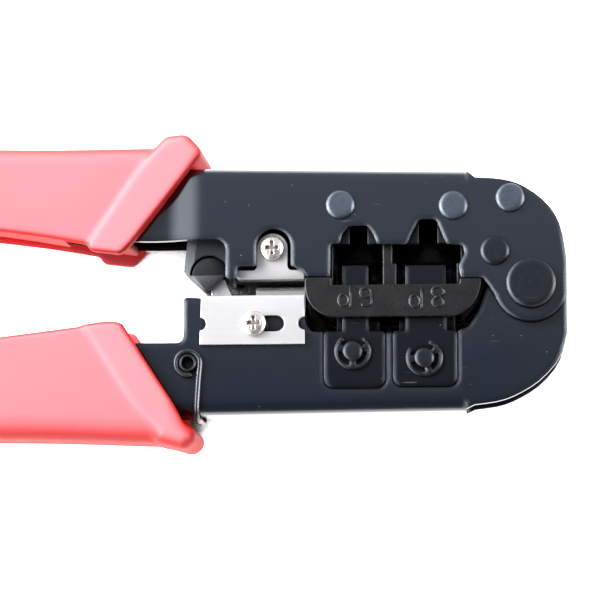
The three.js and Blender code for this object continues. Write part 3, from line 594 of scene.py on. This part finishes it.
def upper_grip():
    f = Field(*UPPER_SPACE, GRIP_STEP)
    body = rounded([
        (-66.5, 28.25), *smooth([(-73, 28.25), (-101, 28.3), (-140, 29.55), (-172, 30.5)]),
        (TAIL, 30.6, 7), (TAIL, 16.0, 6),
        *smooth([(-172, 16.1), (-150, 15.6), (-125, 13.6), (-101, 10.8), (-86, 8.3)]), (-80.5, 7.6)])
    collar = rounded([
        (-74.6, 27.8), (-72.2, 30.2, 2.4), (-68.0, 30.65, 2.4), (-64.6, 26.9, 1.6), (-78.6, 8.9),
        (-80.9, 6.5, 1.7), (-88.4, 7.4, 1.2)])
    rim = INNER_ROUND + (UPPER_ROUND - INNER_ROUND) * ramp(f.y, 17, 25)
    solid = sleeve(f, f.y, body, collar, UPPER_MIDDLE, rim, 1.15 + 0.9 * ramp(f.y, 22, 29))
    under = [(-92, 10.4), (-106, 12.8), (-128, 15.2), (-155, 17.0)]
    cavity = [
        (STEEL_TAIL, upper_spine(STEEL_TAIL) + PLAY), (HEAD, upper_spine(HEAD) + PLAY), (HEAD, -5),
        (-84.0, -5), (-84.0, 9.2), *smooth([*under, (STEEL_TAIL, 17.6)])]
    lip = [
        (-60, 10.0), *smooth([(-84, 9.2), *under, (-183, 17.6)]),
        *smooth([(-183, 12), (-155, 11), (-106, 6), (-60, 2)])]
    half = UPPER_CAVITY - JOGGLE_STEP * np.clip((JOGGLE_FROM - f.x) / JOGGLE_LENGTH, 0, 1)
    solid = cut(solid, f.slab(f.outline(cavity), half), 0.5)
    solid = cut(solid, f.slab(f.outline(lip), half), 0.5)
    web = [
        *smooth([(-79.5, 8.2), (-90, 9.6), (-106, 12.3), (-128, 14.8), (-155, 16.6), (-183, 16.9)]),
        *smooth([(-183, 18.6), (-155, 18.3), (-128, 16.8), (-106, 14.2), (-90, 11.4), (-79.5, 9.9)])]
    solid = join(solid, f.slab(f.outline(web), WEB_UPPER, 0.4), 0.3)
    window = [(-92.5, 0), (-83.0, 0), (-82.0, 14), (-93.5, 14)]
    solid = cut(solid, f.slab(f.outline(window), WINDOW_UPPER), 0.3)
    return f.mesh("grip_upper", solid)


def lower_grip():
    f = Field(*LOWER_SPACE, GRIP_STEP)
    body = rounded([
        (-80.6, -7.4),
        *smooth([(-86, -7.35), (-101, -9.2), (-125, -12.1), (-150, -14.3), (-172, -15.1)]),
        (TAIL, -15.0, 6), (TAIL, -30.3, 7),
        *smooth([(-172, -30.2), (-140, -29.7), (-101, -29.9), (-73, -30.8)]), (-67.6, -30.9)])
    collar = rounded([
        (-88.6, -7.7), (-84.5, -6.95, 2.0), (-81.0, -7.0, 2.0), (-67.4, -27.6), (-65.3, -29.9, 2.0),
        (-68.0, -32.4, 2.4), (-73.6, -30.8)])
    rim = INNER_ROUND + (LOWER_ROUND - INNER_ROUND) * ramp(-f.y, 20, 25)
    solid = sleeve(f, -f.y, body, collar, LOWER_MIDDLE, rim, 1.3 + 2.0 * ramp(-f.y, 21, 29))
    cavity = [
        *smooth([(STEEL_TAIL, -16.8), (-155, -16.2), (-128, -14.4), (-106, -12.1), (-86, -10.9)]),
        (HEAD, -10.75), (HEAD, -26.6), (-70, -26.6), (-76, lower_spine(-76) - PLAY),
        (STEEL_TAIL, lower_spine(STEEL_TAIL) - PLAY)]
    mouth = rounded([(HEAD, 0), (-82.6, 0), (-82.6, -11.9), (-69.5, -27.2, 1.5), (HEAD, -27.2)])
    solid = cut(solid, f.slab(f.outline(cavity), LOWER_CAVITY), 0.4)
    solid = cut(solid, f.slab(f.outline(mouth), MOUTH_LOWER), 0.8)
    window = [(-98, 0), (-60, 0), (-60, -12.4), (-98, -12.4)]
    solid = cut(solid, f.slab(f.outline(window), WINDOW_LOWER), 0.3)
    return f.mesh("grip_lower", solid)


show(upper_grip(), UPPER, "soft_grip", "upper_grip")
show(lower_grip(), LOWER, "soft_grip", "lower_grip")


# ---------- size marks on the die lip ----------

LIP_FACE = 9.0                     # height of the lip's front face over the mid-plane
STROKE = 0.30                      # half width of a raised stroke
STROKE_RISE, STROKE_SINK = 0.85, 0.03  # its height as a share of that, and how far its foot is sunk
STROKE_SIDES = 7
STEM_HEIGHTS = (2.9, 1.0, -1.0, -1.65)     # of the points along the stem of a P, over its bowl's centre
P_OF_6P, SIX_AT = (-36.8, -3.0), (-32.4, -2.4)
P_OF_8P, EIGHT_AT = (-22.75, -3.3), (-18.2, -2.5)


def stroke_tube(vertices, faces, path, closed):
    """Adds one raised stroke: a closed half-round ridge along a path on the lip face."""
    sides = STROKE_SIDES
    base = len(vertices)
    count = len(path)
    for i, (x, y) in enumerate(path):
        before = path[(i - 1) % count] if closed or i else path[i]
        after = path[(i + 1) % count] if closed or i < count - 1 else path[i]
        along = Vector((after[0] - before[0], after[1] - before[1])).normalized()
        for k in range(sides):
            a = math.pi * k / (sides - 1)
            side, up = STROKE * math.cos(a), STROKE_RISE * STROKE * math.sin(a) - STROKE_SINK
            point = Vector((x - along.y * side, y + along.x * side, LIP_FACE + up))
            vertices.append(PIVOT + MM * point)
    for i in range(count if closed else count - 1):
        j = (i + 1) % count
        for k in range(sides - 1):
            a, b = base + i * sides + k, base + j * sides + k
            faces.append((a, a + 1, b + 1, b))
        left, next_left = base + i * sides, base + j * sides
        faces.append((left, next_left, next_left + sides - 1, left + sides - 1))
    if not closed:
        last = base + (count - 1) * sides
        faces.append(tuple(base + k for k in reversed(range(sides))))
        faces.append(tuple(last + k for k in range(sides)))


def oval(cx, cy, rx, ry, start=0.0, turn=2 * math.pi, count=22):
    angles = [start + turn * k / count for k in range(count)]
    return [(cx + rx * math.cos(a), cy + ry * math.sin(a)) for a in angles]


# The marks are read with the tool turned half round, so each of them is upside down here.


def digit_six(x, y):
    tail = oval(x, y - 0.85, 1.12, 0.92, start=-2.5, turn=2.5, count=10)
    return [(oval(x, y + 0.85, 1.12, 0.90), True), ([*tail, (x + 1.12, y + 0.9)], False)]


def digit_eight(x, y):
    return [(oval(x, y + 1.05, 1.22, 0.90), True), (oval(x, y - 1.05, 1.12, 0.92), True)]


def letter_p(x, y):
    stem = [(x + 1.32, y + height) for height in STEM_HEIGHTS]
    return [(oval(x, y, 1.02, 1.18), True), (stem, False)]


def marks(name, parts):
    """One mesh of raised strokes, from (path, closed) pairs."""
    vertices, faces = [], []
    for path, closed in parts:
        stroke_tube(vertices, faces, path, closed)
    mesh = bpy.data.meshes.new(name)
    mesh.from_pydata([tuple(v) for v in vertices], [], faces)
    mesh.validate()
    mesh.shade_smooth()
    return mesh


show(marks("size_mark_6p", letter_p(*P_OF_6P) + digit_six(*SIX_AT)), UPPER, "die_finish")
show(marks("size_mark_8p", letter_p(*P_OF_8P) + digit_eight(*EIGHT_AT)), UPPER, "die_finish")


# ---------- floor, light and camera ----------

FLOOR_HALF, FLOOR_TOP = 4.0, -0.0002   # metres
FLOOR_REACH = 25.0                 # the floor looks this many millimetres up for something over it
FLOOR_OPEN = (0.23, 0.31)          # shares of open sky between which it turns from painted shadow to lit
FLOOR_GLOW = 1.4                   # the lit backdrop, as the camera and the mirrors see it


def floor_material():
    """A pale backdrop lit to white, with a painted shadow right under the tool, where it turns dark."""
    p = Paint("floor", (0.55, 0.55, 0.55), 0.6, specular=0.2)
    p.mix_colour(p.spread(p.noise(0.004, 2.0), 0.3, 0.7, 0.0, 0.3), (0.52, 0.525, 0.53))
    open_floor = p.spread(p.recess(FLOOR_REACH, FLOOR_SAMPLES), *FLOOR_OPEN)
    # painted shadow: the colour turns black and the glow goes out under the tool
    p.mix_colour(p.math("SUBTRACT", 1.0, open_floor), (0.01, 0.01, 0.01))
    diffuse_ray = p.add("ShaderNodeLightPath").outputs["Is Diffuse Ray"]
    seen = p.math("SUBTRACT", FLOOR_GLOW, p.math("MULTIPLY", diffuse_ray, FLOOR_GLOW))
    p.set("Emission Color", (1.0, 1.0, 1.0, 1.0))
    p.set("Emission Strength", p.math("MULTIPLY", open_floor, seen))
    return p.done()


def floor():
    signs = ((-1, -1), (1, -1), (1, 1), (-1, 1))
    mesh = bpy.data.meshes.new("floor")
    mesh.from_pydata([(FLOOR_HALF * x, FLOOR_HALF * y, FLOOR_TOP) for x, y in signs], [], [(0, 1, 2, 3)])
    mesh.materials.append(floor_material())
    obj = bpy.data.objects.new("floor", mesh)
    bpy.context.scene.collection.objects.link(obj)


SOFTBOX_AT, SOFTBOX_AIM = (-0.48, 0.28, 0.46), (-0.06, 0.0, 0.01)     # metres
SOFTBOX_SIDE, SOFTBOX_RADIANCE = 0.42, 34.0


def softbox():
    """The one lamp. Polished surfaces see the surroundings instead of it."""
    light = bpy.data.lights.new("main_softbox", "AREA")
    light.shape = "RECTANGLE"
    light.size = light.size_y = SOFTBOX_SIDE
    light.energy = SOFTBOX_RADIANCE * math.pi * SOFTBOX_SIDE * SOFTBOX_SIDE
    obj = bpy.data.objects.new("main_softbox", light)
    bpy.context.scene.collection.objects.link(obj)
    obj.location = SOFTBOX_AT
    obj.rotation_mode = "QUATERNION"
    obj.rotation_quaternion = (Vector(SOFTBOX_AIM) - Vector(SOFTBOX_AT)).to_track_quat("-Z", "Y")
    obj.visible_camera = False
    obj.visible_glossy = False


# Brightness of the surroundings. Each range is of one coordinate of the direction that a ray takes.
AMBIENT = 0.32
CEILING_RANGE, CEILING = (0.05, 0.18), (0.10, 0.62)            # y: in front of the tool, behind it
LEFT_RANGE, LEFT_GLOW = (-0.30, -0.80), 7.0                    # x
WALL_RANGE, TENT_WALL = (0.86, 0.25), 17.0                     # z: the walls brighten downwards
WALL_BESIDE, BESIDE_SHARE = (0.25, 0.70), (0.12, 1.0)          # x, either way
WALL_ACROSS, ACROSS_SHARE = (0.10, 0.50), (1.0, 0.06)          # y, either way
STUDIO_TINT = (0.90, 0.955, 1.06, 1.0)


def sky():
    """Studio surroundings. Matt surfaces see an even ambient light; polished ones see a dim ceiling that is
    lighter behind the tool, a glow on the left, and the bright walls of the light tent low down."""
    world = bpy.data.worlds.new("studio")
    bpy.context.scene.world = world
    world.use_nodes = True
    world.cycles.sampling_method = "NONE"
    g = Graph(world.node_tree, "Background")
    x, y, z = g.split(g.add("ShaderNodeTexCoord").outputs["Generated"])
    ceiling = g.spread(y, *CEILING_RANGE, *CEILING)
    left = g.spread(x, *LEFT_RANGE, 0.0, LEFT_GLOW)
    low = g.spread(z, *WALL_RANGE, 0.0, TENT_WALL)
    beside = g.spread(g.math("ABSOLUTE", x), *WALL_BESIDE, *BESIDE_SHARE)
    across = g.spread(g.math("ABSOLUTE", y), *WALL_ACROSS, *ACROSS_SHARE)
    walls = g.math("MULTIPLY", low, g.math("MULTIPLY", beside, across))
    mirrored = g.math("ADD", ceiling, g.math("ADD", left, walls))
    choose = g.add("ShaderNodeMix", data_type="FLOAT")
    g.link(g.add("ShaderNodeLightPath").outputs["Is Glossy Ray"], choose.inputs["Factor"])
    choose.inputs["A"].default_value = AMBIENT
    g.link(mirrored, choose.inputs["B"])
    g.set("Strength", choose.outputs["Result"])
    g.set("Color", STUDIO_TINT)


SENSOR, LENS = 36.0, 160.0
CAMERA_CLIP = (0.01, 20.0)
CAMERA_AT = (-6.1, -70.5, 529.0)   # millimetres from the pivot
CAMERA_AIM = (-45.407, -2.911, 9.0)


def camera():
    """Over the head, leaning a little to the lower handle, and far enough away for a long lens."""
    data = bpy.data.cameras.new("camera")
    data.sensor_width = SENSOR
    data.lens = LENS
    data.clip_start, data.clip_end = CAMERA_CLIP
    obj = bpy.data.objects.new("camera", data)
    bpy.context.scene.collection.objects.link(obj)
    obj.location = PIVOT + MM * Vector(CAMERA_AT)
    aim = PIVOT + MM * Vector(CAMERA_AIM)
    back = (obj.location - aim).normalized()
    right = Vector((0, 1, 0)).cross(back).normalized()
    obj.rotation_mode = "QUATERNION"
    obj.rotation_quaternion = Matrix((right, back.cross(right), back)).transposed().to_quaternion()
    bpy.context.scene.camera = obj


floor()
sky()
softbox()
camera()
bpy.context.scene.view_settings.view_transform = "Standard"
